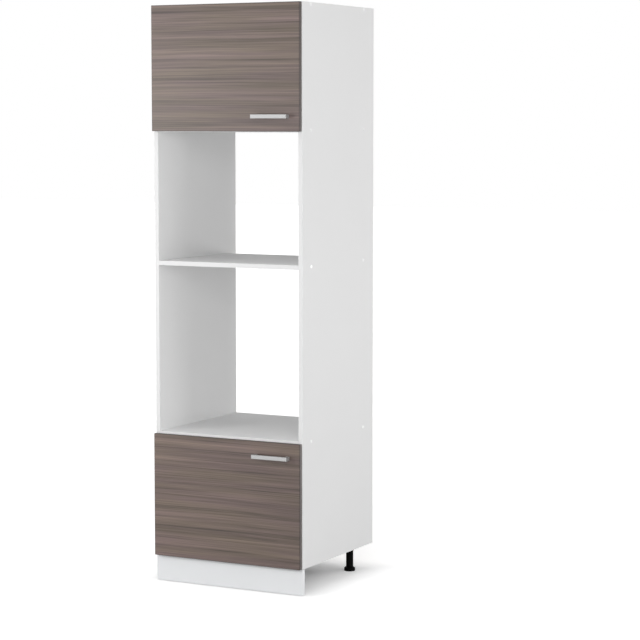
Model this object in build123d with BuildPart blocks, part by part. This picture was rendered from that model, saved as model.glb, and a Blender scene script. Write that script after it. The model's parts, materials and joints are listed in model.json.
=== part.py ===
"""Tall kitchen housing cabinet for a built-in oven and a microwave.

White board carcass on levelling legs, two open niches, and a wood-decor door above and below them.
Millimetres, +Z up, the front faces -Y. The origin is on the floor, under the middle of the whole object.
"""
import os
from build123d import *

os.makedirs("parts", exist_ok=True)

# Carcass boards
carcass_width = 600.0
carcass_depth = 554.0
board = 16.0
leg_height = 95.0
lower_box_height = 422.0
oven_niche_height = 600.0
microwave_niche_height = 460.0
upper_box_height = 416.0
microwave_shelf_setback = 68.0
board_edge_radius = 0.6

# Thin backs, slid into grooves behind both closed boxes
back_thickness = 3.0
back_inset = 14.0
groove_depth = 6.0
groove_clearance = 0.2

# Doors
upper_door_lap = 13.0
lower_door_lap = 8.0
door_thickness = 16.0
door_gap = 2.0
door_side_reveal = 1.5
door_end_reveal = 1.0
door_edge_radius = 1.5
bumper_diameter = 8.0
bumper_clearance = 0.2
bumper_end_inset = 30.0

# Bar handles
handle_leg_width = 13.0
handle_height = 14.0
handle_projection = 26.0
handle_bar_thickness = 8.0
handle_hole_spacing = 128.0
handle_side_inset = 40.0
handle_end_inset = 45.0
handle_edge_radius = 1.0
handle_screw_diameter = 4.0
handle_screw_grip = 10.0
handle_screw_head_diameter = 8.5
handle_screw_head_height = 2.4

# Screws that hold the shelves between the side panels, and their cover caps
front_screw_inset = 65.0
shelf_screw_edge = 12.0
screw_head_diameter = 10.0
screw_head_height = 2.6
screw_head_sink = 0.3
screw_shank_diameter = 7.0
screw_core_diameter = 5.0
screw_core_length = 34.0
screw_socket_width = 4.0
screw_socket_depth = 2.0
screw_fit = 0.1
cap_diameter = 12.0
cap_thickness = 1.4
cap_rim_radius = 0.8
cap_stem_diameter = 3.0
cap_stem_length = 1.9

# Hidden fittings of the bottom panel
cam_front_inset = 130.0
cam_rear_inset = 134.0
cam_diameter = 15.0
cam_height = 12.5
cam_setback = 24.0
cam_bolt_diameter = 7.0
cam_bolt_thread_diameter = 5.0
cam_bolt_thread_length = 11.0
dowel_front_inset = 170.0
dowel_rear_inset = 174.0
dowel_diameter = 8.0
dowel_length = 30.0
dowel_in_side = 11.0
fitting_fit = 0.1
bore_relief = 1.0

# Plinth and the clips that hold it to the front legs
plinth_thickness = 16.0
plinth_floor_gap = 2.0
plinth_top_gap = 1.0
clip_ear = 12.0
clip_plate_thickness = 3.0
clip_height = 24.0
clip_prong = 3.0
clip_clearance = 0.3
clip_overrun = 8.0

# Legs and levelling feet
leg_side_inset = 52.0
front_leg_inset = 60.0
rear_leg_inset = 86.0
leg_plate_width = 60.0
leg_plate_thickness = 4.0
leg_collar_diameter = 32.0
leg_collar_height = 14.0
leg_tube_diameter = 27.0
leg_screw_inset = 8.0
foot_diameter = 41.0
foot_height = 12.5
foot_cone_height = 1.5
foot_neck_diameter = 34.0
foot_stop_gap = 0.3
foot_edge_radius = 1.5
spindle_diameter = 12.0
spindle_length = 40.0
spindle_clearance = 0.08
spindle_head_room = 2.0

# Small wood screws of the legs, clips and hinge cups
wood_screw_diameter = 3.5
wood_screw_length = 12.0
wood_screw_head_diameter = 7.0
wood_screw_head_height = 1.6
wood_screw_fit = 0.1

# Concealed hinges: pivots are measured from the door's hinge edge and from its back face
hinge_end_inset = 90.0
arm_long_pivot_x = 42.6
arm_long_pivot_y = 12.85
cup_long_pivot_x = 13.55
cup_long_pivot_y = -1.05
arm_short_pivot_x = 20.4
arm_short_pivot_y = -8.15
cup_short_pivot_x = 13.65
cup_short_pivot_y = -6.25
cup_diameter = 35.0
cup_edge = 3.0
cup_depth = 12.0
cup_wall = 1.0
cup_bore_clearance = 0.1
cup_bore_relief = 0.2
cup_wing_thickness = 1.0
cup_wing_width = 18.0
cup_wing_reach = 31.0
cup_screw_offset = 24.0
cup_screw_head_height = 0.8
pocket_half_height = 7.0
cheek_outer = 6.4
cheek_inner = 5.0
link_outer = 4.8
link_inner = 0.3
link_bar_width = 4.0
short_link_bar_width = 3.6
link_eye_diameter = 5.4
cup_eye_diameter = 4.6
short_eye_diameter = 4.8
open_eye_diameter = 5.2
pin_diameter = 2.4
open_pin_diameter = 2.0
pin_clearance = 0.05
open_pin_clearance = 0.75
pin_root = 11.0
hook_near = 30.1
hook_far = 34.1
hook_outer = 2.6
hook_inner = 1.7
arm_eye_diameter = 5.8
arm_front = 16.0
arm_back = 64.0
arm_web = 2.0
plate_screw_inset = 37.0
plate_screw_pitch = 32.0
plate_thickness = 4.0
plate_front = 20.0
plate_back = 70.0
plate_wing_width = 20.0
plate_wing_height = 48.0
plate_height = 18.0
spine_front = 24.0
spine_gap = 5.0
plate_screw_diameter = 5.0
plate_screw_length = 11.5
plate_screw_head_diameter = 8.0
plate_screw_head_height = 2.0
arm_screw_diameter = 5.0
arm_screw_grip = 12.0
arm_screw_head_diameter = 9.0
arm_screw_head_height = 2.5
arm_screw_inset = 50.0

# Places that follow from the sizes above
half_width = carcass_width / 2
inner_half = half_width - board
door_reach = door_gap + door_thickness + handle_projection
front_y = door_reach - (carcass_depth + door_reach) / 2
back_y = front_y + carcass_depth
bottom_z = leg_height
lower_box_z = bottom_z + board
oven_shelf_z = lower_box_z + lower_box_height
oven_niche_z = oven_shelf_z + board
microwave_shelf_z = oven_niche_z + oven_niche_height
microwave_niche_z = microwave_shelf_z + board
upper_floor_z = microwave_niche_z + microwave_niche_height
upper_box_z = upper_floor_z + board
top_panel_z = upper_box_z + upper_box_height
top_z = top_panel_z + board

back_mid_y = back_y - back_inset - back_thickness / 2
groove_width = back_thickness + 2 * groove_clearance
back_grip = groove_depth - groove_clearance

shelf_levels = (oven_shelf_z, microwave_shelf_z, upper_floor_z, top_panel_z)
microwave_shelf_depth = carcass_depth - microwave_shelf_setback
screw_rows = (front_y + front_screw_inset, front_y + microwave_shelf_depth - shelf_screw_edge)
screw_points = [(y, z + board / 2) for z in shelf_levels for y in screw_rows]
bottom_mid_z = bottom_z + board / 2
cam_points = [(front_y + cam_front_inset, bottom_mid_z), (back_y - cam_rear_inset, bottom_mid_z)]
dowel_points = [(front_y + dowel_front_inset, bottom_mid_z), (back_y - dowel_rear_inset, bottom_mid_z)]

door_left = -half_width + door_side_reveal
door_right = half_width - door_side_reveal
door_back_y = front_y - door_gap
door_front_y = door_back_y - door_thickness
upper_door_top = top_z - door_end_reveal
upper_door_z = upper_box_z - upper_door_lap
lower_door_z = bottom_z + door_end_reveal
lower_door_top = oven_shelf_z + lower_door_lap

leg_x = half_width - leg_side_inset
front_leg_y = front_y + front_leg_inset
rear_leg_y = back_y - rear_leg_inset
leg_places = {
    "front_left": (-leg_x, front_leg_y),
    "front_right": (leg_x, front_leg_y),
    "rear_left": (-leg_x, rear_leg_y),
    "rear_right": (leg_x, rear_leg_y),
}
leg_bottom_z = foot_height + foot_cone_height + foot_stop_gap


def save(piece, name):
    """Label a finished piece and write it under its own name."""
    piece.label = name
    export_step(piece, f"parts/{name}.step")


def post(plane, radius, start, end, mode=Mode.ADD):
    """A round post or bore along a plane's normal, from one distance to another."""
    with BuildSketch(plane.offset(start)) as round_face:
        Circle(radius)
    extrude(round_face.sketch, amount=end - start, mode=mode)


def block(x0, x1, y0, y1, z0, z1, mode=Mode.ADD):
    """A straight block between three pairs of limits."""
    with BuildSketch(Plane.XY.offset(z0)) as outline:
        with Locations(((x0 + x1) / 2, (y0 + y1) / 2)):
            Rectangle(x1 - x0, y1 - y0)
    extrude(outline.sketch, amount=z1 - z0, mode=mode)


def round_front_edges(piece, along):
    """Round a board's two front edges that run along one axis, as its edge band is."""
    fillet(piece.edges().filter_by(along).group_by(Axis.Y)[0], board_edge_radius)


def inward(side, x, y, z):
    """A plane at a point of one side, side -1 left or +1 right, whose normal runs into the carcass."""
    return Plane(origin=(side * x, y, z), x_dir=(0, 1, 0), z_dir=(-side, 0, 0))


def backward(x, y, z):
    """A plane whose normal runs from the front to the back."""
    return Plane(origin=(x, y, z), x_dir=(1, 0, 0), z_dir=(0, 1, 0))


def forward(x, y, z):
    """A plane whose normal runs from the back to the front."""
    return Plane(origin=(x, y, z), x_dir=(1, 0, 0), z_dir=(0, -1, 0))


def upward(x, y, z):
    """A level plane at a point."""
    return Plane(origin=(x, y, z))


# Hinge places shared by the doors, the left side panel and the hinges themselves
hinge_levels = {
    "upper": (upper_door_z + hinge_end_inset, upper_door_top - hinge_end_inset),
    "lower": (lower_door_z + hinge_end_inset, lower_door_top - hinge_end_inset),
}
all_hinge_levels = hinge_levels["upper"] + hinge_levels["lower"]
cup_x = door_left + cup_edge + cup_diameter / 2
plate_screw_y = front_y + plate_screw_inset
plate_face_x = -inner_half


def on_hinge(x, y):
    """Turn a pivot measured from the door's edge and back face into a place in the cabinet."""
    return door_left + x, door_back_y + y


# Side panels
def make_side(side):
    """One side panel with its screw holes, back grooves and, on the left, the hinge plate holes."""
    outer = side * half_width
    inner = side * inner_half
    groove_bottom = side * (inner_half + groove_depth)
    with BuildPart() as panel:
        block(min(outer, inner), max(outer, inner), front_y, back_y, bottom_z, top_z)
        round_front_edges(panel, Axis.Z)
        for y, z in screw_points:
            face = inward(side, half_width, y, z)
            post(face, screw_shank_diameter / 2 + screw_fit, 0, board, Mode.SUBTRACT)
            post(face, screw_head_diameter / 2 + screw_fit,
                 0, screw_head_sink + screw_head_height, Mode.SUBTRACT)
        for low, high in ((lower_box_z, oven_shelf_z), (upper_box_z, top_panel_z)):
            block(min(inner, groove_bottom), max(inner, groove_bottom),
                  back_mid_y - groove_width / 2, back_mid_y + groove_width / 2,
                  low - groove_depth, high + groove_depth, Mode.SUBTRACT)
        for y, z in cam_points:
            post(inward(side, inner_half, y, z), cam_bolt_thread_diameter / 2 + fitting_fit,
                 -cam_bolt_thread_length - bore_relief, 0, Mode.SUBTRACT)
        for y, z in dowel_points:
            post(inward(side, inner_half, y, z), dowel_diameter / 2 + fitting_fit,
                 -dowel_in_side - bore_relief, 0, Mode.SUBTRACT)
        if side < 0:
            for level in all_hinge_levels:
                for half in (-1, 1):
                    post(inward(side, inner_half, plate_screw_y, level + half * plate_screw_pitch / 2),
                         plate_screw_diameter / 2 + fitting_fit,
                         -plate_screw_length - bore_relief, 0, Mode.SUBTRACT)
    return panel.part


save(make_side(-1), "left_side_panel")
save(make_side(1), "right_side_panel")


# Level boards between the sides
def make_shelf(z, depth, groove=0):
    """A board with pilot bores in both ends; groove is -1 below, +1 above, 0 for none."""
    with BuildPart() as shelf:
        block(-inner_half, inner_half, front_y, front_y + depth, z, z + board)
        round_front_edges(shelf, Axis.X)
        for side in (-1, 1):
            for y in screw_rows:
                post(inward(side, inner_half, y, z + board / 2), screw_core_diameter / 2 + screw_fit,
                     0, screw_core_length + bore_relief, Mode.SUBTRACT)
        if groove:
            cut_back_groove(z, groove)
    return shelf.part


def cut_back_groove(z, groove):
    """The groove along a board's rear for a thin back."""
    low = z + board - groove_depth if groove > 0 else z
    block(-inner_half, inner_half, back_mid_y - groove_width / 2, back_mid_y + groove_width / 2,
          low, low + groove_depth, Mode.SUBTRACT)


save(make_shelf(top_panel_z, carcass_depth, -1), "top_panel")
save(make_shelf(upper_floor_z, carcass_depth, 1), "upper_box_floor")
save(make_shelf(microwave_shelf_z, microwave_shelf_depth), "microwave_shelf")
save(make_shelf(oven_shelf_z, carcass_depth, -1), "oven_shelf")

leg_screw_reach = leg_plate_width / 2 - leg_screw_inset
leg_screw_points = [
    (x + across * leg_screw_reach, y + along * leg_screw_reach)
    for x, y in leg_places.values()
    for across in (-1, 1)
    for along in (-1, 1)
]
with BuildPart() as bottom_panel:
    block(-inner_half, inner_half, front_y, back_y, bottom_z, bottom_z + board)
    round_front_edges(bottom_panel, Axis.X)
    cut_back_groove(bottom_z, 1)
    for side in (-1, 1):
        for y, z in cam_points:
            post(inward(side, inner_half, y, z), cam_bolt_diameter / 2 + fitting_fit,
                 0, cam_setback, Mode.SUBTRACT)
            post(upward(side * (inner_half - cam_setback), y, bottom_z), cam_diameter / 2 + fitting_fit,
                 0, cam_height + fitting_fit, Mode.SUBTRACT)
        for y, z in dowel_points:
            post(inward(side, inner_half, y, z), dowel_diameter / 2 + fitting_fit,
                 0, dowel_length - dowel_in_side + bore_relief, Mode.SUBTRACT)
    for x, y in leg_screw_points:
        post(upward(x, y, bottom_z), wood_screw_diameter / 2 + wood_screw_fit,
             0, wood_screw_length, Mode.SUBTRACT)
save(bottom_panel.part, "bottom_panel")


# Thin backs
def make_back(low, high):
    """A thin back held on all four edges by the grooves of one closed box."""
    with BuildPart() as back:
        block(-inner_half - back_grip, inner_half + back_grip,
              back_mid_y - back_thickness / 2, back_mid_y + back_thickness / 2,
              low - back_grip, high + back_grip)
    return back.part


save(make_back(upper_box_z, top_panel_z), "upper_back_panel")
save(make_back(lower_box_z, oven_shelf_z), "lower_back_panel")

# Screws through the sides into the shelf ends, with hexagon sockets
with BuildPart() as carcass_screws:
    for side in (-1, 1):
        for y, z in screw_points:
            face = inward(side, half_width, y, z)
            head_end = screw_head_sink + screw_head_height
            post(face, screw_head_diameter / 2, screw_head_sink, head_end)
            post(face, screw_shank_diameter / 2, head_end, board)
            post(face, screw_core_diameter / 2, board, board + screw_core_length)
            with BuildSketch(face.offset(screw_head_sink)):
                RegularPolygon(screw_socket_width / 2, 6, major_radius=False)
            extrude(amount=screw_socket_depth, mode=Mode.SUBTRACT)
save(carcass_screws.part, "carcass_screws")

# Cover caps pressed over the screw heads
with BuildPart() as screw_caps:
    for side in (-1, 1):
        for y, z in screw_points:
            face = inward(side, half_width, y, z)
            post(face, cap_diameter / 2, -cap_thickness, 0)
            post(face, cap_stem_diameter / 2, 0, cap_stem_length)
    rims = screw_caps.edges().filter_by(GeomType.CIRCLE).group_by(Axis.X)
    fillet(rims[0] + rims[-1], cap_rim_radius)
save(screw_caps.part, "screw_caps")

# Cam locks, their bolts and the dowels of the bottom panel
with BuildPart() as cam_locks:
    for side in (-1, 1):
        for y, z in cam_points:
            post(upward(side * (inner_half - cam_setback), y, bottom_z), cam_diameter / 2, 0, cam_height)
            post(inward(side, inner_half, y, z), cam_bolt_diameter / 2 + fitting_fit,
                 0, cam_setback + fitting_fit, Mode.SUBTRACT)
save(cam_locks.part, "cam_locks")

with BuildPart() as cam_bolts:
    for side in (-1, 1):
        for y, z in cam_points:
            end = inward(side, inner_half, y, z)
            post(end, cam_bolt_thread_diameter / 2, -cam_bolt_thread_length, 0)
            post(end, cam_bolt_diameter / 2, 0, cam_setback)
save(cam_bolts.part, "cam_bolts")

with BuildPart() as dowels:
    for side in (-1, 1):
        for y, z in dowel_points:
            post(inward(side, inner_half, y, z), dowel_diameter / 2,
                 -dowel_in_side, dowel_length - dowel_in_side)
save(dowels.part, "dowels")


# Legs: plate, collar and tube in one moulding, open below for the foot's spindle
def make_leg(x, y):
    """One leg under the bottom panel."""
    plate_z = bottom_z - leg_plate_thickness
    with BuildPart() as leg:
        block(x - leg_plate_width / 2, x + leg_plate_width / 2,
              y - leg_plate_width / 2, y + leg_plate_width / 2, plate_z, bottom_z)
        post(upward(x, y, plate_z), leg_collar_diameter / 2, -leg_collar_height, 0)
        post(upward(x, y, leg_bottom_z), leg_tube_diameter / 2, 0, plate_z - leg_bottom_z)
        post(upward(x, y, leg_bottom_z), spindle_diameter / 2 + spindle_clearance,
             0, spindle_length + spindle_head_room, Mode.SUBTRACT)
        for across in (-1, 1):
            for along in (-1, 1):
                post(upward(x + across * leg_screw_reach, y + along * leg_screw_reach, plate_z),
                     wood_screw_diameter / 2 + wood_screw_fit, 0, leg_plate_thickness, Mode.SUBTRACT)
    return leg.part


def make_foot(x, y):
    """A levelling foot: round base, low cone and the spindle that screws into the leg."""
    with BuildPart() as foot:
        post(upward(x, y, 0), foot_diameter / 2, 0, foot_height)
        rims = foot.edges().filter_by(GeomType.CIRCLE)
        fillet(rims, foot_edge_radius)
        with BuildSketch(upward(x, y, foot_height)):
            Circle(foot_diameter / 2 - foot_edge_radius)
        with BuildSketch(upward(x, y, foot_height + foot_cone_height)):
            Circle(foot_neck_diameter / 2)
        loft()
        post(upward(x, y, foot_height + foot_cone_height), spindle_diameter / 2,
             0, foot_stop_gap + spindle_length)
    return foot.part


for corner, place in leg_places.items():
    save(make_leg(*place), f"{corner}_leg")
    save(make_foot(*place), f"{corner}_foot")

with BuildPart() as leg_screws:
    for x, y in leg_screw_points:
        face = upward(x, y, bottom_z - leg_plate_thickness)
        post(face, wood_screw_head_diameter / 2, -wood_screw_head_height, 0)
        post(face, wood_screw_diameter / 2, 0, wood_screw_length)
save(leg_screws.part, "leg_screws")

# Plinth board, its clips and their screws
plinth_back_y = front_y + plinth_thickness
plinth_top_z = bottom_z - plinth_top_gap
clip_mid_z = (leg_bottom_z + bottom_z - leg_plate_thickness - leg_collar_height) / 2
prong_inner = leg_tube_diameter / 2 + clip_clearance
prong_outer = prong_inner + clip_prong
clip_half_width = prong_outer + clip_ear
clip_screw_reach = prong_outer + clip_ear / 2
clip_screw_points = [
    (side * leg_x + across * clip_screw_reach, clip_mid_z)
    for side in (-1, 1)
    for across in (-1, 1)
]
with BuildPart() as plinth_board:
    block(-half_width, half_width, front_y, plinth_back_y, plinth_floor_gap, plinth_top_z)
    round_front_edges(plinth_board, Axis.X)
    for x, z in clip_screw_points:
        post(forward(x, plinth_back_y, z), wood_screw_diameter / 2 + wood_screw_fit,
             0, wood_screw_length, Mode.SUBTRACT)
save(plinth_board.part, "plinth_board")

clip_low = clip_mid_z - clip_height / 2
clip_high = clip_mid_z + clip_height / 2
with BuildPart() as plinth_clips:
    for side in (-1, 1):
        x = side * leg_x
        block(x - clip_half_width, x + clip_half_width,
              plinth_back_y, plinth_back_y + clip_plate_thickness, clip_low, clip_high)
        for across in (-1, 1):
            near, far = sorted((x + across * prong_inner, x + across * prong_outer))
            block(near, far, plinth_back_y, front_leg_y + clip_overrun, clip_low, clip_high)
    for x, z in clip_screw_points:
        post(backward(x, plinth_back_y, z), wood_screw_diameter / 2 + wood_screw_fit,
             0, clip_plate_thickness, Mode.SUBTRACT)
save(plinth_clips.part, "plinth_clips")

with BuildPart() as clip_screws:
    for x, z in clip_screw_points:
        face = forward(x, plinth_back_y + clip_plate_thickness, z)
        post(face, wood_screw_head_diameter / 2, -wood_screw_head_height, 0)
        post(face, wood_screw_diameter / 2, 0, wood_screw_length)
save(clip_screws.part, "clip_screws")

# Doors, handles and bumpers
handle_length = handle_hole_spacing + handle_leg_width
handle_right = door_right - handle_side_inset
handle_left = handle_right - handle_length
handle_mid_x = (handle_left + handle_right) / 2
handle_hole_xs = (handle_mid_x - handle_hole_spacing / 2, handle_mid_x + handle_hole_spacing / 2)
handle_front_y = door_front_y - handle_projection


def make_door(low, high, hinge_zs, handle_z):
    """A door board with rounded edges, hinge cup bores, cup screw pilots and handle holes."""
    with BuildPart() as door:
        block(door_left, door_right, door_front_y, door_back_y, low, high)
        fillet(door.edges(), door_edge_radius)
        for z in hinge_zs:
            post(forward(cup_x, door_back_y, z), cup_diameter / 2,
                 0, cup_depth + cup_bore_relief, Mode.SUBTRACT)
            for half in (-1, 1):
                post(forward(cup_x, door_back_y, z + half * cup_screw_offset),
                     wood_screw_diameter / 2 + wood_screw_fit, 0, wood_screw_length, Mode.SUBTRACT)
        for x in handle_hole_xs:
            post(forward(x, door_back_y, handle_z), handle_screw_diameter / 2 + screw_fit,
                 0, door_thickness, Mode.SUBTRACT)
    return door.part


def make_handle(handle_z):
    """A flat bar with a leg at each end, bored from behind for its screws."""
    low = handle_z - handle_height / 2
    high = handle_z + handle_height / 2
    with BuildPart() as handle:
        block(handle_left, handle_right, handle_front_y, handle_front_y + handle_bar_thickness, low, high)
        block(handle_left, handle_left + handle_leg_width, handle_front_y, door_front_y, low, high)
        block(handle_right - handle_leg_width, handle_right, handle_front_y, door_front_y, low, high)
        front = handle.faces().sort_by(Axis.Y)[0]
        fillet(front.edges(), handle_edge_radius)
        for x in handle_hole_xs:
            post(forward(x, door_front_y, handle_z), handle_screw_diameter / 2 + screw_fit,
                 0, handle_screw_grip + bore_relief, Mode.SUBTRACT)
    return handle.part


def make_handle_screws(handle_z):
    """Machine screws from inside the door into the handle's legs."""
    with BuildPart() as screws:
        for x in handle_hole_xs:
            face = forward(x, door_back_y, handle_z)
            post(face, handle_screw_head_diameter / 2, -handle_screw_head_height, 0)
            post(face, handle_screw_diameter / 2, 0, door_thickness + handle_screw_grip)
    return screws.part


def make_bumpers(low, high):
    """Soft discs on the door's back that meet the right side panel's front edge."""
    with BuildPart() as bumpers:
        for z in (low + bumper_end_inset, high - bumper_end_inset):
            post(backward(half_width - board / 2, door_back_y, z), bumper_diameter / 2,
                 0, door_gap - bumper_clearance)
    return bumpers.part


# Concealed hinges
arm_long = on_hinge(arm_long_pivot_x, arm_long_pivot_y)
cup_long = on_hinge(cup_long_pivot_x, cup_long_pivot_y)
arm_short = on_hinge(arm_short_pivot_x, arm_short_pivot_y)
cup_short = on_hinge(cup_short_pivot_x, cup_short_pivot_y)
pin_radius = pin_diameter / 2
pin_bore = pin_radius + pin_clearance
open_pin_radius = open_pin_diameter / 2
plate_top_x = plate_face_x + plate_thickness
web_outer_x = arm_long[0] + arm_eye_diameter / 2
web_inner_x = web_outer_x - arm_web
spine_end_x = web_inner_x - spine_gap
arm_front_y = front_y + arm_front
arm_back_y = front_y + arm_back
arm_screw_y = front_y + arm_screw_inset
hook_y = arm_short[1] - hook_outer


def stub(place, radius, low, high, mode=Mode.ADD):
    """An upright pin, eye or bore at a pivot, between two levels."""
    post(upward(place[0], place[1], low), radius, 0, high - low, mode)


def make_hinge_plates(levels):
    """Cross-shaped plates on the left side panel, each with the spine that its arm fits over."""
    with BuildPart() as plates:
        for level in levels:
            block(plate_face_x, plate_top_x, front_y + plate_front, front_y + plate_back,
                  level - plate_height / 2, level + plate_height / 2)
            block(plate_face_x, plate_top_x,
                  plate_screw_y - plate_wing_width / 2, plate_screw_y + plate_wing_width / 2,
                  level - plate_wing_height / 2, level + plate_wing_height / 2)
            block(plate_top_x, spine_end_x, front_y + spine_front, arm_back_y,
                  level - link_outer, level + link_outer)
            post(inward(-1, -spine_end_x, arm_screw_y, level), arm_screw_diameter / 2 + screw_fit,
                 spine_gap - arm_screw_grip - bore_relief, 0, Mode.SUBTRACT)
            for half in (-1, 1):
                post(inward(-1, inner_half, plate_screw_y, level + half * plate_screw_pitch / 2),
                     plate_screw_diameter / 2 + screw_fit, 0, plate_thickness, Mode.SUBTRACT)
    return plates.part


def make_plate_screws(levels):
    """Screws from the plates into the left side panel."""
    with BuildPart() as screws:
        for level in levels:
            for half in (-1, 1):
                face = inward(-1, -plate_top_x, plate_screw_y, level + half * plate_screw_pitch / 2)
                post(face, plate_screw_head_diameter / 2, 0, plate_screw_head_height)
                post(face, plate_screw_diameter / 2, -plate_thickness - plate_screw_length, 0)
    return screws.part


def make_hinge_arms(levels):
    """Arms of two cheeks and a web: a neck for the long link above, a hook for the short link below."""
    with BuildPart() as arms:
        for level in levels:
            for low, high in ((-cheek_outer, -cheek_inner), (cheek_inner, cheek_outer)):
                block(plate_top_x, web_outer_x, arm_front_y, arm_back_y, level + low, level + high)
            block(web_inner_x, web_outer_x, arm_front_y, arm_back_y,
                  level - cheek_outer, level + cheek_outer)
            neck_low = level + cheek_inner
            neck_high = level + cheek_outer
            stub(arm_long, arm_eye_diameter / 2, neck_low, neck_high)
            block(arm_long[0] - arm_eye_diameter / 2, web_outer_x, arm_long[1], arm_front_y,
                  neck_low, neck_high)
            stub(arm_long, pin_radius, neck_low, neck_high, Mode.SUBTRACT)
            hook_low = level - cheek_outer
            hook_high = level - cheek_inner
            stub(arm_short, hook_outer, hook_low, hook_high)
            block(arm_short[0], door_left + hook_far, hook_y, arm_short[1] + hook_inner,
                  hook_low, hook_high)
            block(door_left + hook_near, door_left + hook_far, hook_y, arm_front_y, hook_low, hook_high)
            stub(arm_short, pin_radius, hook_low, hook_high, Mode.SUBTRACT)
            post(inward(-1, -web_inner_x, arm_screw_y, level), arm_screw_diameter / 2 + screw_fit,
                 0, arm_web, Mode.SUBTRACT)
    return arms.part


def make_arm_screws(levels):
    """Clamping screws through the arms' webs into the spines."""
    with BuildPart() as screws:
        for level in levels:
            face = inward(-1, -web_outer_x, arm_screw_y, level)
            post(face, arm_screw_head_diameter / 2, 0, arm_screw_head_height)
            post(face, arm_screw_diameter / 2, -arm_web - arm_screw_grip, 0)
    return screws.part


def make_arm_pins(levels):
    """Pins fixed in the arms, which the links turn on."""
    with BuildPart() as pins:
        for level in levels:
            stub(arm_long, pin_radius, level + link_inner, level + cheek_outer)
            stub(arm_short, pin_radius, level - cheek_outer, level - link_inner)
    return pins.part


def make_links(levels, start, end, width, start_eye, end_eye, low, end_bore):
    """Flat links with an eye at each end; the start turns on the arm's pin, the end on the cup's pin."""
    along = Vector(*end) - Vector(*start)
    with BuildPart() as links:
        for level in levels:
            face = Plane(origin=(*start, level + low), x_dir=along, z_dir=(0, 0, 1))
            with BuildSketch(face):
                Circle(start_eye / 2)
                with Locations((along.length / 2, 0)):
                    Rectangle(along.length, width)
                with Locations((along.length, 0)):
                    Circle(end_eye / 2)
                    Circle(end_bore, mode=Mode.SUBTRACT)
                Circle(pin_bore, mode=Mode.SUBTRACT)
            extrude(amount=link_outer - link_inner)
    return links.part


def make_hinge_cups(levels):
    """Cups pressed into the door, open towards its edge for the links, with screw wings on two sides."""
    cup_radius = cup_diameter / 2 - cup_bore_clearance
    pocket_radius = cup_radius - cup_wall
    with BuildPart() as cups:
        for level in levels:
            face = forward(cup_x, door_back_y, level)
            post(face, cup_radius, 0, cup_depth)
            with BuildSketch(face):
                Circle(pocket_radius)
                with Locations((-cup_diameter / 2, 0)):
                    Rectangle(cup_diameter, cup_diameter)
                Rectangle(3 * cup_diameter, 2 * pocket_half_height, mode=Mode.INTERSECT)
            extrude(amount=cup_depth - cup_wall, mode=Mode.SUBTRACT)
            for half in (-1, 1):
                low, high = sorted((level + half * pocket_half_height, level + half * cup_wing_reach))
                block(cup_x - cup_wing_width / 2, cup_x + cup_wing_width / 2,
                      door_back_y, door_back_y + cup_wing_thickness, low, high)
                post(backward(cup_x, door_back_y, level + half * cup_screw_offset),
                     wood_screw_diameter / 2 + wood_screw_fit, 0, cup_wing_thickness, Mode.SUBTRACT)
            stub(cup_long, pin_radius, level + pocket_half_height, level + pin_root, Mode.SUBTRACT)
            stub(cup_short, open_pin_radius, level - pin_root, level - pocket_half_height, Mode.SUBTRACT)
    return cups.part


def make_cup_screws(levels):
    """Low-headed screws through the wings into the door."""
    with BuildPart() as screws:
        for level in levels:
            for half in (-1, 1):
                face = forward(cup_x, door_back_y + cup_wing_thickness, level + half * cup_screw_offset)
                post(face, wood_screw_head_diameter / 2, -cup_screw_head_height, 0)
                post(face, wood_screw_diameter / 2, 0, wood_screw_length)
    return screws.part


def make_cup_pins(levels):
    """Pins fixed in the cups: the upper one in the long link, the lower one in the short link."""
    with BuildPart() as pins:
        for level in levels:
            stub(cup_long, pin_radius, level + link_inner, level + pin_root)
            stub(cup_short, open_pin_radius, level - pin_root, level - link_inner)
    return pins.part


# Everything that belongs to a door, for the upper one and the lower one
upper_handle_z = upper_door_z + handle_end_inset + handle_height / 2
lower_handle_z = lower_door_top - handle_end_inset - handle_height / 2
doors = {
    "upper": (upper_door_z, upper_door_top, upper_handle_z),
    "lower": (lower_door_z, lower_door_top, lower_handle_z),
}
for name, (low, high, handle_z) in doors.items():
    levels = hinge_levels[name]
    long_links = make_links(levels, arm_long, cup_long, link_bar_width,
                            link_eye_diameter, cup_eye_diameter, link_inner, pin_bore)
    short_links = make_links(levels, arm_short, cup_short, short_link_bar_width,
                             short_eye_diameter, open_eye_diameter, -link_outer,
                             open_pin_radius + open_pin_clearance)
    save(make_door(low, high, levels, handle_z), f"{name}_door")
    save(make_handle(handle_z), f"{name}_handle")
    save(make_handle_screws(handle_z), f"{name}_handle_screws")
    save(make_bumpers(low, high), f"{name}_door_bumpers")
    save(make_hinge_plates(levels), f"{name}_hinge_plates")
    save(make_plate_screws(levels), f"{name}_plate_screws")
    save(make_hinge_arms(levels), f"{name}_hinge_arms")
    save(make_arm_screws(levels), f"{name}_arm_screws")
    save(make_arm_pins(levels), f"{name}_arm_pins")
    save(long_links, f"{name}_long_links")
    save(short_links, f"{name}_short_links")
    save(make_hinge_cups(levels), f"{name}_hinge_cups")
    save(make_cup_screws(levels), f"{name}_cup_screws")
    save(make_cup_pins(levels), f"{name}_cup_pins")
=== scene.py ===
# %% [markdown]
# # A tall kitchen housing cabinet
# The packed model holds every board, hinge and screw at its real size, so this lesson adds no shape that
# the joiner's drawing already has. It gives each piece the finish that its maker gave it, then lights the
# cabinet and frames it. The cells run from top to bottom, and each one prints what it made. The box of the
# bare model is kept at once.

# %% Load the packed cabinet
import json
import math
from collections import namedtuple

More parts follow.
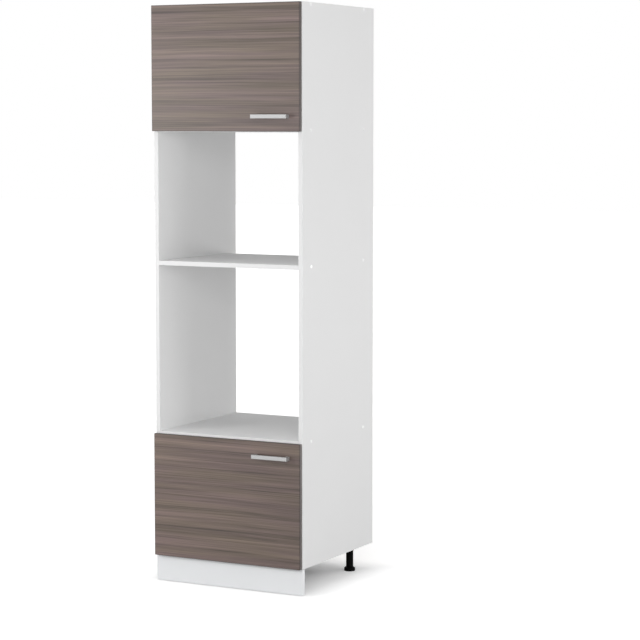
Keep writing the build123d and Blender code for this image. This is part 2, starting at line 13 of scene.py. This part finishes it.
import bpy
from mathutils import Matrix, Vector


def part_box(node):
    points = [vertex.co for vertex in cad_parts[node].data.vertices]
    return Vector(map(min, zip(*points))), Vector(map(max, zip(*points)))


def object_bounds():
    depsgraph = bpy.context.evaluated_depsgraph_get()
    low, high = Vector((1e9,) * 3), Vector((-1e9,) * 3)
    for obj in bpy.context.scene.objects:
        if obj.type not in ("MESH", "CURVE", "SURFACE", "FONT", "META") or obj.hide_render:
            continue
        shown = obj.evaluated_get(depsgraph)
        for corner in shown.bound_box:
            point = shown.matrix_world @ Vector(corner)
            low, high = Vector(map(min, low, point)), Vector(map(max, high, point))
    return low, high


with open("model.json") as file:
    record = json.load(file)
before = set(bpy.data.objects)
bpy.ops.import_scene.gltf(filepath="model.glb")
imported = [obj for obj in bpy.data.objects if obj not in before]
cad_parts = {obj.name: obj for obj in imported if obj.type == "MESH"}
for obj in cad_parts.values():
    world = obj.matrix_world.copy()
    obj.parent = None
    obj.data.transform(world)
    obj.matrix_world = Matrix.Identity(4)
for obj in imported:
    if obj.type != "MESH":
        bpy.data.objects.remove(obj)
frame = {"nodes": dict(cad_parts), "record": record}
cad_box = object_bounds()
print("cabinet box in metres:", [round(value, 4) for corner in cad_box for value in corner])

# %% [markdown]
# ## Writing shaders as sums
# A finish is a small program: streaks plus speckle, times a tint. The nodes could be wired by hand, but that
# hides the thought, so a `Term` wraps one node output and Python's own operators add the Math nodes. The
# reflected forms let a plain number stand first, as in `1 - mask`.

# %% A term of a sum


class Term:
    """One number, vector or colour inside a finish, which can stand in a sum."""

    def __init__(self, finish, socket):
        self.finish = finish
        self.socket = socket

    def __add__(self, other):
        return self.finish.math("ADD", self, other)

    def __radd__(self, other):
        return self.finish.math("ADD", other, self)

    def __sub__(self, other):
        return self.finish.math("SUBTRACT", self, other)

    def __rsub__(self, other):
        return self.finish.math("SUBTRACT", other, self)

    def __mul__(self, other):
        return self.finish.math("MULTIPLY", self, other)

    def __rmul__(self, other):
        return self.finish.math("MULTIPLY", other, self)


print("terms can be added, subtracted and multiplied")

# %% [markdown]
# ## A finish and its nodes
# Every node comes from one method, `add`, which sets the node's options first and then fills or links its
# sockets. The short methods after it are the few recipes that all the finishes share: a place on the cabinet,
# cloudy noise at a scale in clouds to the metre, a change of range, a mix of two colours and a tiny relief.
# A Mix node has number, vector and colour sockets of the same names, so its colour sockets go by number.

# %% A finish
MIX_FACTOR, MIX_FIRST, MIX_SECOND, MIX_RESULT = 0, 6, 7, 2


class Finish:
    """One material, written as Python expressions."""

    def __init__(self, name):
        self.material = bpy.data.materials.new(name)
        self.material.use_nodes = True
        self.tree = self.material.node_tree
        self.tree.nodes.clear()

    def add(self, kind, settings=None, sockets=None, output=0):
        """Make a node: its settings first, then the values or links of its sockets."""
        node = self.tree.nodes.new(kind)
        for name, value in (settings or {}).items():
            if name == "stops":
                self.fill_ramp(node.color_ramp, value)
            else:
                setattr(node, name, value)
        for name, value in (sockets or {}).items():
            if isinstance(value, Term):
                self.tree.links.new(value.socket, node.inputs[name])
            else:
                node.inputs[name].default_value = value
        return Term(self, node.outputs[output]) if node.outputs else None

    @staticmethod
    def fill_ramp(ramp, stops):
        """Give a colour ramp its stops, each a place from 0 to 1 and a colour."""
        while len(ramp.elements) < len(stops):
            ramp.elements.new(1.0)
        for element, (place, colour) in zip(ramp.elements, stops):
            element.position = place
            element.color = (*colour, 1.0)

    def math(self, operation, first, second=0.0):
        """One Math node, on one number or two."""
        return self.add("ShaderNodeMath", {"operation": operation}, {0: first, 1: second})

    def point(self):
        """The place on the cabinet in metres."""
        return self.add("ShaderNodeTexCoord", output="Object")

    def noise(self, per_metre, detail=2.0, rough=0.5, shift=(0.0, 0.0, 0.0), point=None):
        """Cloudy noise from 0 to 1, with so many clouds to the metre along each axis."""
        place = self.add("ShaderNodeMapping", sockets={"Vector": point or self.point(),
                                                       "Scale": per_metre, "Location": shift})
        return self.add("ShaderNodeTexNoise", sockets={"Vector": place, "Scale": 1.0,
                                                       "Detail": detail, "Roughness": rough})

    def range(self, value, low, high, to_low=0.0, to_high=1.0, curve="LINEAR"):
        """Map a number from one range to another, held at the ends."""
        return self.add("ShaderNodeMapRange", {"interpolation_type": curve, "clamp": True},
                        {"Value": value, "From Min": low, "From Max": high,
                         "To Min": to_low, "To Max": to_high})

    def ramp(self, value, stops):
        """Turn a number into a colour."""
        return self.add("ShaderNodeValToRGB", {"stops": stops}, {"Fac": value})

    def tint(self, factor, first, second, blend="MIX"):
        """Mix two colours by a factor."""
        return self.add("ShaderNodeMix", {"data_type": "RGBA", "blend_type": blend},
                        {MIX_FACTOR: factor, MIX_FIRST: first, MIX_SECOND: second}, output=MIX_RESULT)

    def bump(self, height, depth):
        """Tiny relief: depth is the real height of the texture in metres."""
        return self.add("ShaderNodeBump", sockets={"Height": height, "Distance": depth})

    def surface(self, **sockets):
        """Close the finish with its surface shader; socket names use _ for a space."""
        named = {name.replace("_", " "): value for name, value in sockets.items()}
        shader = self.add("ShaderNodeBsdfPrincipled", sockets=named)
        self.add("ShaderNodeOutputMaterial", sockets={"Surface": shader})
        return self.material


print("a finish has", len([name for name in vars(Finish) if not name.startswith("_")]), "methods")

# %% [markdown]
# ## Which way a surface looks
# One board has more than one finish: its faces are pressed melamine, its front edge is a glued band and its
# rear edge is often left bare. Three materials on three sets of faces would need the mesh to be cut up. The
# surface's own direction tells them apart instead, and it turns with the piece when a door opens.

# %% Directions
ACROSS, DEEP, UP = 0, 1, 2


def along(finish, axis, vector):
    """One of the three numbers of a vector."""
    return finish.add("ShaderNodeSeparateXYZ", sockets={0: vector}, output=axis)


def facing(finish, axis):
    """How far a surface looks along an axis of its own piece, from -1 to 1."""
    return along(finish, axis, finish.add("ShaderNodeTexCoord", output="Normal"))


def grey(level, warm=0.0):
    """A near-neutral colour, a little warm or cool."""
    return (level * (1 + warm), level, level * (1 - warm), 1.0)


print("axis", DEEP, "runs from the front to the rear, so the front's facing value on it is -1")

# %% [markdown]
# ## White melamine board
# The carcass is chipboard with a white melamine face pressed on under a lightly grained plate. The white is
# nearly neutral; what makes it read as board and not paper is a soft satin gloss broken by a fine pebble
# grain, and a front band that is a touch whiter and smoother than the face. Noise of about a millimetre gives
# the grain, and slow noise the slight unevenness of the press. Towards the wall the edge has no band, so the
# pale chips show there. In the names here and below, a turn is the two facing values between which one
# finish gives way to another, a spread is the share of a colour that is left in its darkest clouds, a
# dulling is the roughness that a detail adds, and a depth is in metres.

# %% The white board finish
BOARD_WHITE = 0.80
BAND_WHITE = 0.84
BOARD_ROUGHNESS = 0.60
BAND_ROUGHNESS = 0.45
BOARD_SHINE = 0.25
NOISE_MEAN = 0.5
CLOUD_RANGE = (0.3, 0.7)
PRESS_CLOUDS_PER_METRE = (3.0, 3.0, 3.0)
PRESS_SPREAD = 0.985
PRESS_DULLING = 0.05
GRAIN_PER_METRE = (900.0, 900.0, 900.0)
GRAIN_DULLING = 0.10
GRAIN_DEPTH = 0.00002
CHIPS_PER_METRE = (260.0, 260.0, 420.0)
CHIP_COLOURS = [(0.34, (0.25, 0.165, 0.09)), (0.66, (0.58, 0.44, 0.28))]
CHIP_DULLING = 0.25
FRONT_TURN = (-0.9, -0.5)
REAR_TURN = (0.5, 0.9)


def white_board(name, face_white, band_white, cool=0.0, bare_rear=0.0):
    """Pressed melamine with a front band; with bare_rear at 1 the rear edge shows its chips."""
    finish = Finish(name)
    cloud = finish.noise(PRESS_CLOUDS_PER_METRE, detail=3.0)
    grain = finish.noise(GRAIN_PER_METRE, detail=1.0)
    chips = finish.noise(CHIPS_PER_METRE, detail=4.0, rough=0.65)
    band = finish.range(facing(finish, DEEP), *FRONT_TURN, 1.0, 0.0)
    bare = finish.range(facing(finish, DEEP), *REAR_TURN, 0.0, bare_rear)
    face = finish.tint(finish.range(cloud, *CLOUD_RANGE),
                       grey(PRESS_SPREAD * face_white, -cool), grey(face_white, -cool))
    white = finish.tint(band, face, grey(band_white, -cool))
    tone = finish.tint(bare, white, finish.ramp(chips, CHIP_COLOURS))
    roughness = (BOARD_ROUGHNESS + (BAND_ROUGHNESS - BOARD_ROUGHNESS) * band
                 + GRAIN_DULLING * (grain - NOISE_MEAN) + PRESS_DULLING * (cloud - NOISE_MEAN))
    return finish.surface(Base_Color=tone, Roughness=roughness + CHIP_DULLING * bare,
                          Specular_IOR_Level=BOARD_SHINE, Normal=finish.bump(grain, GRAIN_DEPTH))


white_board_finish = white_board("white_melamine", BOARD_WHITE, BAND_WHITE, bare_rear=1.0)
print("made", white_board_finish.name, "with", len(white_board_finish.node_tree.nodes), "nodes")

# %% [markdown]
# ## The plinth
# The plinth board is the carcass's recipe with a lighter and a little cooler white, and with both of its
# faces covered. The lighter white is painted light on the low front board.

# %% The plinth finish
# painted light: the plinth's white is set lighter than the carcass's
PLINTH_PAINTED_LIGHT_WHITE = 0.895
PLINTH_COOL = 0.014

plinth_finish = white_board("white_plinth", PLINTH_PAINTED_LIGHT_WHITE, PLINTH_PAINTED_LIGHT_WHITE, cool=PLINTH_COOL)
print("made", plinth_finish.name)

# %% [markdown]
# ## Thin back board
# The backs are thin hardboard: a white lacquer towards the cupboard and bare pressed fibre towards the wall.
# One finish does both, again by the surface's own direction, with fine fibre over larger flakes on the bare
# side.

# %% The hardboard finish
LACQUER_WHITE = 0.78
LACQUER_ROUGHNESS = 0.5
WALL_TURN = (0.4, 0.6)
FIBRES_PER_METRE = (700.0, 700.0, 700.0)
FIBRE_COLOURS = [(0.32, (0.17, 0.095, 0.05)), (0.68, (0.32, 0.20, 0.115))]
FIBRE_SHARE = 0.6
FIBRE_DEPTH = 0.00006
FIBRE_DULLING = 0.28
FIBRE_MOTTLE = 0.2
FLAKES_PER_METRE = (90.0, 90.0, 140.0)
FLAKE_SHIFT = (3.0, 1.0, 2.0)


def thin_back():
    """Hardboard, lacquered towards the cupboard and bare towards the wall."""
    finish = Finish("hardboard_back")
    wall_side = finish.range(facing(finish, DEEP), *WALL_TURN)
    fibre = finish.noise(FIBRES_PER_METRE, detail=4.0, rough=0.65)
    flakes = finish.noise(FLAKES_PER_METRE, detail=3.0, shift=FLAKE_SHIFT)
    bare = finish.ramp(FIBRE_SHARE * fibre + (1 - FIBRE_SHARE) * flakes, FIBRE_COLOURS)
    tone = finish.tint(wall_side, grey(LACQUER_WHITE), bare)
    roughness = LACQUER_ROUGHNESS + wall_side * (FIBRE_DULLING + FIBRE_MOTTLE * (fibre - NOISE_MEAN))
    return finish.surface(Base_Color=tone, Roughness=roughness, Normal=finish.bump(fibre, FIBRE_DEPTH))


thin_back_finish = thin_back()
print("made", thin_back_finish.name)

# %% [markdown]
# ## The edges of a door
# A door's narrow sides and its rounded arris are painted darker than the printed front, as painted shade. A
# mask for them could be painted on the mesh, but the door's own box already says where its edges are: a point
# is on the edge when it lies within a few millimetres of that box's sides.

# %% Where a door's edge is
PAINTED_EDGE_WIDTH = 0.003
PAINTED_EDGE_FULL = 0.0012


def past_edge(finish, box, axis):
    """How far a point lies outside a box along one axis, in metres; negative inside."""
    low, high = (corner[axis] for corner in box)
    from_middle = finish.math("ABSOLUTE", along(finish, axis, finish.point()) - (low + high) / 2)
    return from_middle - (high - low) / 2


def painted_edge_mask(finish, box):
    """Where the painted shade goes: 1 on a door's narrow sides and on the last millimetres of its front, 0
    inside.
    """
    out = finish.math("MAXIMUM", past_edge(finish, box, ACROSS), past_edge(finish, box, UP))
    return finish.range(out, -PAINTED_EDGE_WIDTH, -PAINTED_EDGE_FULL)


print("a door's edge band is", 1000 * PAINTED_EDGE_WIDTH, "mm wide")

# %% [markdown]
# ## The grain of the decor
# The doors carry a printed decor of brown-grey wood with the grain laid level. Its lightness varies in long
# streaks of several widths, from centimetre bands to hairline pores. Each layer is the same cloud noise,
# stretched far along the door and squeezed across it, and a slow wander moves all the layers up and down
# together, as grain does round a knot that the sheet no longer shows.

# %% Layers of grain
GrainLayer = namedtuple("GrainLayer", "per_metre detail rough weight shift")
BANDS = GrainLayer((0.4, 1.0, 34.0), detail=2.0, rough=0.50, weight=0.75, shift=(0.0, 0.0))
STREAKS = GrainLayer((1.2, 2.0, 110.0), detail=2.0, rough=0.55, weight=1.20, shift=(4.0, 7.0))
LINES = GrainLayer((2.6, 4.0, 300.0), detail=2.0, rough=0.60, weight=1.20, shift=(1.0, 3.0))
PORES = GrainLayer((9.0, 10.0, 1400.0), detail=1.0, rough=0.50, weight=0.45, shift=(8.0, 5.0))
WANDERS_PER_METRE = (2.5, 1.0, 5.0)
WANDER_HEIGHT = 0.007


def wandering_point(finish):
    """The place on the door, moved up and down a little."""
    lift = WANDER_HEIGHT * (finish.noise(WANDERS_PER_METRE, detail=1.0) - NOISE_MEAN)
    move = finish.add("ShaderNodeCombineXYZ", sockets={"Z": lift})
    return finish.add("ShaderNodeVectorMath", {"operation": "ADD"}, {0: finish.point(), 1: move})


def grain_layer(finish, layer, sheet, point):
    """One layer about zero, read at the door's own place on the sheet."""
    right, up = layer.shift
    shift = (sheet + right, 0.0, up)
    return finish.noise(layer.per_metre, layer.detail, layer.rough, shift, point) - NOISE_MEAN


print("the finest grain lines are about", round(1000 / PORES.per_metre[UP], 1), "mm wide")

# %% [markdown]
# ## The wood decor
# Hue and lightness vary apart from each other: the hue wanders between mauve-brown and tan in patches a few
# centimetres tall, and the layers of grain are summed to one lightness that the hue is multiplied by. Each
# door is cut from another place on the sheet, and each door is painted lighter at its left and darker at its
# right, as painted light from the left. The lower door's print is painted deeper and warmer than the upper's,
# as painted shade. The same fine layers also break the gloss and press a faint relief, as a pressing plate
# does.

# %% The wood decor finish
MAUVE = (0.156, 0.115, 0.106)
TAN = (0.151, 0.117, 0.094)
HUE_RANGE = (0.36, 0.64)
PATCHES_PER_METRE = (2.2, 1.0, 34.0)
PATCH_SHIFT = (2.0, 1.0)
PAINTED_EDGE_SHADE = (0.30, 0.27, 0.27, 1.0)
DECOR_ROUGHNESS = 0.42
DECOR_SHINE = 0.45
LINE_DULLING = 0.14
PORE_DULLING = 0.10
LINE_SHARE = 0.6
PLATE_DEPTH = 0.00003


def dyed(colour, shade_cast):
    """A colour times the door's painted shade, one share to each channel, as a shader colour."""
    return (*(part * share for part, share in zip(colour, shade_cast)), 1.0)


def wood_decor(name, box, sheet, shade_cast, strength, painted_light_drift):
    """One door's decor: its place on the sheet, its painted shade, its contrast and its painted light."""
    finish = Finish(name)
    point = wandering_point(finish)
    right, up = PATCH_SHIFT
    patches = finish.noise(PATCHES_PER_METRE, shift=(sheet + right, 0.0, up), point=point)
    hue = finish.tint(finish.range(patches, *HUE_RANGE), dyed(MAUVE, shade_cast), dyed(TAN, shade_cast))
    bands, streaks, lines, pores = (grain_layer(finish, layer, sheet, point)
                                    for layer in (BANDS, STREAKS, LINES, PORES))
    grain = (BANDS.weight * bands + STREAKS.weight * streaks
             + LINES.weight * lines + PORES.weight * pores)
    door_left, door_right = (corner[ACROSS] for corner in box)
    # painted light: each door is made lighter at its left and darker at its right
    painted_light_fall = finish.range(along(finish, ACROSS, point), door_left, door_right, 1.0 + painted_light_drift, 1.0 - painted_light_drift)
    printed = finish.tint(1.0, hue, painted_light_fall * (1.0 + strength * grain), "MULTIPLY")
    # painted shade: the door's narrow sides and rounded arris are multiplied darker
    colour = finish.tint(painted_edge_mask(finish, box), printed, PAINTED_EDGE_SHADE, "MULTIPLY")
    roughness = DECOR_ROUGHNESS + LINE_DULLING * lines + PORE_DULLING * pores
    relief = LINE_SHARE * lines + (1 - LINE_SHARE) * pores
    return finish.surface(Base_Color=colour, Roughness=roughness, Specular_IOR_Level=DECOR_SHINE,
                          Normal=finish.bump(relief, PLATE_DEPTH))


upper_decor = wood_decor("upper_door_decor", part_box("upper_door"), sheet=0.0,
                         shade_cast=(1.0, 1.0, 1.0), strength=1.24, painted_light_drift=0.025)
# painted shade: the lower door's print is made darker and warmer, and its painted light at the left is
# stronger
lower_decor = wood_decor("lower_door_decor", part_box("lower_door"), sheet=5.3,
                         shade_cast=(0.896, 0.871, 0.859), strength=1.35, painted_light_drift=0.11)
print("made", upper_decor.name, lower_decor.name)

# %% [markdown]
# ## Metals
# The handle is satin aluminium, brushed along its length, so its noise is stretched the same way as the brush
# ran. Hinges are nickel-plated pressings and the screws bright zinc: the same recipe with other colours, a
# mottled gloss and no direction. The relief is far below what the eye can see as a shape; it only breaks the
# reflections.

# %% The metal finishes
METAL_SPREAD = 0.92
METAL_RANGE = (0.25, 0.75)
METAL_DEPTH = 0.00001
METAL_CLOUDS_PER_METRE = (40.0, 40.0, 40.0)
METAL_CLOUD_DULLING = 0.06
BRUSH_SHARE = 0.7
BRUSH_DULLING = 0.16


def brushed_metal(name, colour, roughness, per_metre):
    """A metal with its brush marks or mottle at so many to the metre along each axis."""
    finish = Finish(name)
    brush = finish.noise(per_metre, detail=3.0, rough=0.6)
    cloud = finish.noise(METAL_CLOUDS_PER_METRE)
    dull = tuple(METAL_SPREAD * part for part in colour)
    stops = list(zip(METAL_RANGE, (dull, colour)))
    tone = finish.ramp(BRUSH_SHARE * brush + (1 - BRUSH_SHARE) * cloud, stops)
    broken = (roughness + BRUSH_DULLING * (brush - NOISE_MEAN)
              + METAL_CLOUD_DULLING * (cloud - NOISE_MEAN))
    return finish.surface(Base_Color=tone, Metallic=1.0, Roughness=broken,
                          Normal=finish.bump(brush, METAL_DEPTH))


satin_handle_finish = brushed_metal("satin_aluminium", colour=(0.385, 0.385, 0.385), roughness=0.58,
                                    per_metre=(25.0, 1800.0, 1800.0))
nickel_finish = brushed_metal("nickel_plate", colour=(0.66, 0.64, 0.60), roughness=0.28,
                              per_metre=(1400.0, 1400.0, 1400.0))
zinc_finish = brushed_metal("bright_zinc", colour=(0.62, 0.64, 0.66), roughness=0.32,
                            per_metre=(900.0, 900.0, 900.0))
print("made", satin_handle_finish.name, nickel_finish.name, zinc_finish.name)

# %% [markdown]
# ## Moulded plastics
# The legs and clips are black moulded plastic with the fine grain of a spark-eroded mould, set deeper than
# such plastic's own black as painted shade for the legs under the cabinet. The caps over the screws are
# white, smooth and a little brighter than the board, which is why they show as small pale dots.

# %% The plastic finishes
MOULD_GRAIN_PER_METRE = (1600.0, 1600.0, 1600.0)
MOULD_GRAIN_DULLING = 0.16
MOULD_CLOUDS_PER_METRE = (30.0, 30.0, 30.0)
MOULD_CLOUD_DULLING = 0.08
MOULD_SPREAD = 0.96


def moulded_plastic(name, level, roughness, shine, grain_depth):
    """A plastic of one grey level; the depth of its mould's grain is in metres."""
    finish = Finish(name)
    grain = finish.noise(MOULD_GRAIN_PER_METRE)
    cloud = finish.noise(MOULD_CLOUDS_PER_METRE)
    tone = finish.tint(finish.range(cloud, *CLOUD_RANGE), grey(MOULD_SPREAD * level), grey(level))
    broken = (roughness + MOULD_GRAIN_DULLING * (grain - NOISE_MEAN)
              + MOULD_CLOUD_DULLING * (cloud - NOISE_MEAN))
    return finish.surface(Base_Color=tone, Roughness=broken, Specular_IOR_Level=shine,
                          Normal=finish.bump(grain, grain_depth))


# painted shade: a black deeper than the plastic's own, for the legs in the shade under the cabinet
black_plastic_shade_finish = moulded_plastic("black_plastic", level=0.003, roughness=0.50, shine=0.03,
                                       grain_depth=0.00003)
white_cap_finish = moulded_plastic("white_cap", level=0.97, roughness=0.20, shine=0.50,
                                   grain_depth=0.00001)
print("made", black_plastic_shade_finish.name, white_cap_finish.name)

# %% [markdown]
# ## Dowels and bumpers
# Dowels are bare beech with the flecks along them. The bumpers behind the doors are soft clear discs, so a
# part of the light goes through. Both are small, but they show when a door stands open or a board comes off.

# %% The beech and the clear finish
FLECKS_PER_METRE = (60.0, 900.0, 900.0)
BEECH_COLOURS = [(0.35, (0.46, 0.28, 0.15)), (0.65, (0.60, 0.40, 0.23))]
BEECH_ROUGHNESS = 0.6
FLECK_DULLING = 0.1
FLECK_DEPTH = 0.00004
BUMPER_CLOUDS_PER_METRE = (400.0, 400.0, 400.0)
BUMPER_COLOURS = [(0.3, (0.72, 0.72, 0.71)), (0.7, (0.82, 0.82, 0.81))]
BUMPER_ROUGHNESS = 0.25
BUMPER_DULLING = 0.1
BUMPER_CLEAR = 0.4
BUMPER_IOR = 1.45


def beech():
    """Bare beech with its flecks."""
    finish = Finish("bare_beech")
    fleck = finish.noise(FLECKS_PER_METRE)
    return finish.surface(Base_Color=finish.ramp(fleck, BEECH_COLOURS),
                          Roughness=BEECH_ROUGHNESS + FLECK_DULLING * (fleck - NOISE_MEAN),
                          Normal=finish.bump(fleck, FLECK_DEPTH))


def clear_bumper():
    """Soft plastic that lets a part of the light through."""
    finish = Finish("clear_bumper")
    cloud = finish.noise(BUMPER_CLOUDS_PER_METRE)
    return finish.surface(Base_Color=finish.ramp(cloud, BUMPER_COLOURS),
                          Roughness=BUMPER_ROUGHNESS + BUMPER_DULLING * cloud,
                          Transmission_Weight=BUMPER_CLEAR, IOR=BUMPER_IOR)


beech_finish = beech()
bumper_finish = clear_bumper()
print("made", beech_finish.name, bumper_finish.name)

# %% [markdown]
# ## Dressing the pieces
# The record names a material slot for each node, so the finishes are handed out by slot and no piece is
# forgotten. Only the doors and the plinth have a finish of their own.

# %% Hand out the finishes
FINISHES = {
    "white_board": white_board_finish,
    "thin_back": thin_back_finish,
    "satin_handle": satin_handle_finish,
    "black_plastic": black_plastic_shade_finish,
    "white_cap": white_cap_finish,
    "zinc_steel": zinc_finish,
    "nickel_hinge": nickel_finish,
    "beech_dowel": beech_finish,
    "clear_bumper": bumper_finish,
}
OWN_FINISH = {"upper_door": upper_decor, "lower_door": lower_decor, "plinth_board": plinth_finish}

for subpart in frame["record"]["subparts"]:
    mesh = frame["nodes"][subpart["node"]].data
    mesh.materials.clear()
    mesh.materials.append(OWN_FINISH.get(subpart["node"]) or FINISHES[subpart["material_slot"]])

# %% [markdown]
# ## The floor
# A catalogue picture stands the cabinet on a white sweep. The floor here is a plain pale plane. It adds white
# of its own only where the camera, a reflection or a clear piece sees it, so the background is white with no
# more light on the cabinet, and the cabinet's shadow stays on the floor. Near and under the cabinet the added
# white fades out, which paints a shadow round the cabinet's base. The picture shows hardly any light from
# below, so the floor sends less light back to the cabinet than a floor as pale as this one would. Distances
# are in metres from the outline of the cabinet's box.

# %% The floor
FLOOR_SIZE = 60.0
FLOOR_PALE = 0.80
FLOOR_BOUNCE = 0.45
NEAR_GLOW = 0.55
FAR_GLOW = 1.0
PAINTED_SHADOW_DEPTH = 0.22
PAINTED_SHADOW_REACH = 0.11
FAR_START = 0.3
FAR_END = 5.0
BLACK = grey(0.0)
WHITE = grey(1.0)


def seen_by_eye(finish):
    """1 where the camera, a reflection or a clear piece looks, 0 for light that falls on the cabinet."""
    camera, glossy, clear = (finish.add("ShaderNodeLightPath", output=f"Is {ray} Ray")
                             for ray in ("Camera", "Glossy", "Transmission"))
    return finish.range(camera + glossy + clear, 0.0, 1.0)


def pale_floor():
    """A pale plane whose added white only the eye sees, faded out near the cabinet as a painted shadow."""
    finish = Finish("pale_floor")
    away = finish.math("MAXIMUM", past_edge(finish, cad_box, ACROSS), past_edge(finish, cad_box, DEEP))
    # painted shadow: the added white fades to nothing from outside the cabinet's outline to under it
    near = finish.range(away, -PAINTED_SHADOW_DEPTH, PAINTED_SHADOW_REACH, 0.0, NEAR_GLOW)
    far = finish.range(away, FAR_START, FAR_END, 0.0, FAR_GLOW - NEAR_GLOW, "SMOOTHSTEP")
    seen = seen_by_eye(finish)
    tone = finish.tint(seen, grey(FLOOR_BOUNCE), grey(FLOOR_PALE))
    glow = finish.tint((near + far) * seen, BLACK, WHITE)
    return finish.surface(Base_Color=tone, Roughness=1.0, Specular_IOR_Level=0.0,
                          Emission_Color=glow, Emission_Strength=1.0)


bpy.ops.mesh.primitive_plane_add(size=FLOOR_SIZE)
floor = bpy.context.object
floor.name = "studio_floor"
floor.data.materials.append(pale_floor())
print("floor of", FLOOR_SIZE, "m")

# %% [markdown]
# ## The surroundings
# Past the floor's rim there is only the world. It is pure white to the eye and to reflections, and a dim fill
# to everything else, by the same test as the floor's. The shelves grow darker towards their open rear, so the
# fill is weaker from behind than from the front. The world has a node tree like a material's, so the same
# class writes it, and its Generated coordinate is the direction in which a ray leaves the scene.

# %% The surroundings
FRONT_FILL = 0.40
REAR_FILL = 0.25
FILL_TURN = (-0.2, 0.6)


class Surroundings(Finish):
    """The world's own node tree, written like any other finish."""

    def __init__(self, name):
        self.world = bpy.data.worlds.new(name)
        self.world.use_nodes = True
        self.tree = self.world.node_tree
        self.tree.nodes.clear()


studio = Surroundings("white_studio")
to_rear = along(studio, DEEP, studio.add("ShaderNodeTexCoord", output="Generated"))
fill = studio.tint(studio.range(to_rear, *FILL_TURN), grey(FRONT_FILL), grey(REAR_FILL))
sky = studio.tint(seen_by_eye(studio), fill, WHITE)
background = studio.add("ShaderNodeBackground", sockets={"Color": sky, "Strength": 1.0})
studio.add("ShaderNodeOutputWorld", sockets={"Surface": background})
bpy.context.scene.world = studio.world
print("surroundings ready, fill", FRONT_FILL, "to", REAR_FILL)

# %% [markdown]
# ## The lamps
# Broad soft boxes stand well away on every side that the picture shows lit: the front right and the right
# light the doors and the side panel, one above keeps the shelves clear, one high on the left throws the
# shadow to the right, and a small one at the front left lifts the doors' left halves. A low one at the rear
# right shines through the open niches onto the left panel, below the level of the shelves. Wide lamps far off
# give soft shadows without any hot spot. Places and sizes are in metres, and power is in watts.

# %% The lamps
MIDDLE = (0.0, 0.0, 1.0)
DOORS_LEFT = (-0.1, -0.27, 1.2)
NICHES = (0.0, 0.2, 1.0)


def softbox(name, place, size, power, aim=MIDDLE):
    """A large square lamp that looks at the cabinet."""
    lamp = bpy.data.lights.new(name, "AREA")
    lamp.shape = "SQUARE"
    lamp.size = size
    lamp.energy = power
    box = bpy.data.objects.new(name, lamp)
    box.location = place
    box.rotation_euler = (Vector(aim) - box.location).to_track_quat("-Z", "Y").to_euler()
    bpy.context.scene.collection.objects.link(box)


softbox("front_right_softbox", place=(3.0, -5.6, 2.2), size=3.0, power=132.0)
softbox("right_softbox", place=(5.0, -0.6, 1.6), size=3.0, power=78.0)
softbox("top_softbox", place=(0.0, -0.4, 5.0), size=3.0, power=45.0)
softbox("left_softbox", place=(-4.8, 0.2, 3.4), size=3.0, power=30.0)
softbox("front_left_softbox", place=(-1.8, -2.2, 1.4), size=1.2, power=26.0, aim=DOORS_LEFT)
softbox("rear_right_softbox", place=(3.0, 3.6, 0.5), size=1.5, power=37.0, aim=NICHES)
print("lamps ready:", len(bpy.data.lights))

# %% [markdown]
# ## The camera
# The picture was taken from the front right at about eye height with a long lens. The place, the turn and the
# lens were worked out from the cabinet's own edges. The camera looks slightly down instead of shifting its
# lens, so that views from other sides keep the cabinet in the middle.

# %% The camera
CAMERA_PLACE = (3.7904, -6.7910, 1.6690)
CAMERA_YAW = math.radians(-27.633)
CAMERA_PITCH = math.radians(5.342)
FOCAL_PIXELS = 2143.4
IMAGE_PIXELS = 640
SENSOR_MM = 36.0

lens = bpy.data.cameras.new("main_camera")
lens.sensor_width = SENSOR_MM
lens.lens = FOCAL_PIXELS / IMAGE_PIXELS * SENSOR_MM
camera = bpy.data.objects.new("main_camera", lens)
camera.location = CAMERA_PLACE
ahead = Vector((math.sin(CAMERA_YAW) * math.cos(CAMERA_PITCH),
                math.cos(CAMERA_YAW) * math.cos(CAMERA_PITCH),
                -math.sin(CAMERA_PITCH)))
camera.rotation_euler = ahead.to_track_quat("-Z", "Y").to_euler()
bpy.context.scene.collection.objects.link(camera)
bpy.context.scene.camera = camera
bpy.context.scene.view_settings.view_transform = "Standard"
print("camera lens in mm:", round(lens.lens, 1))

# %% [markdown]
# ## Sizes
# A finish must not change the object.
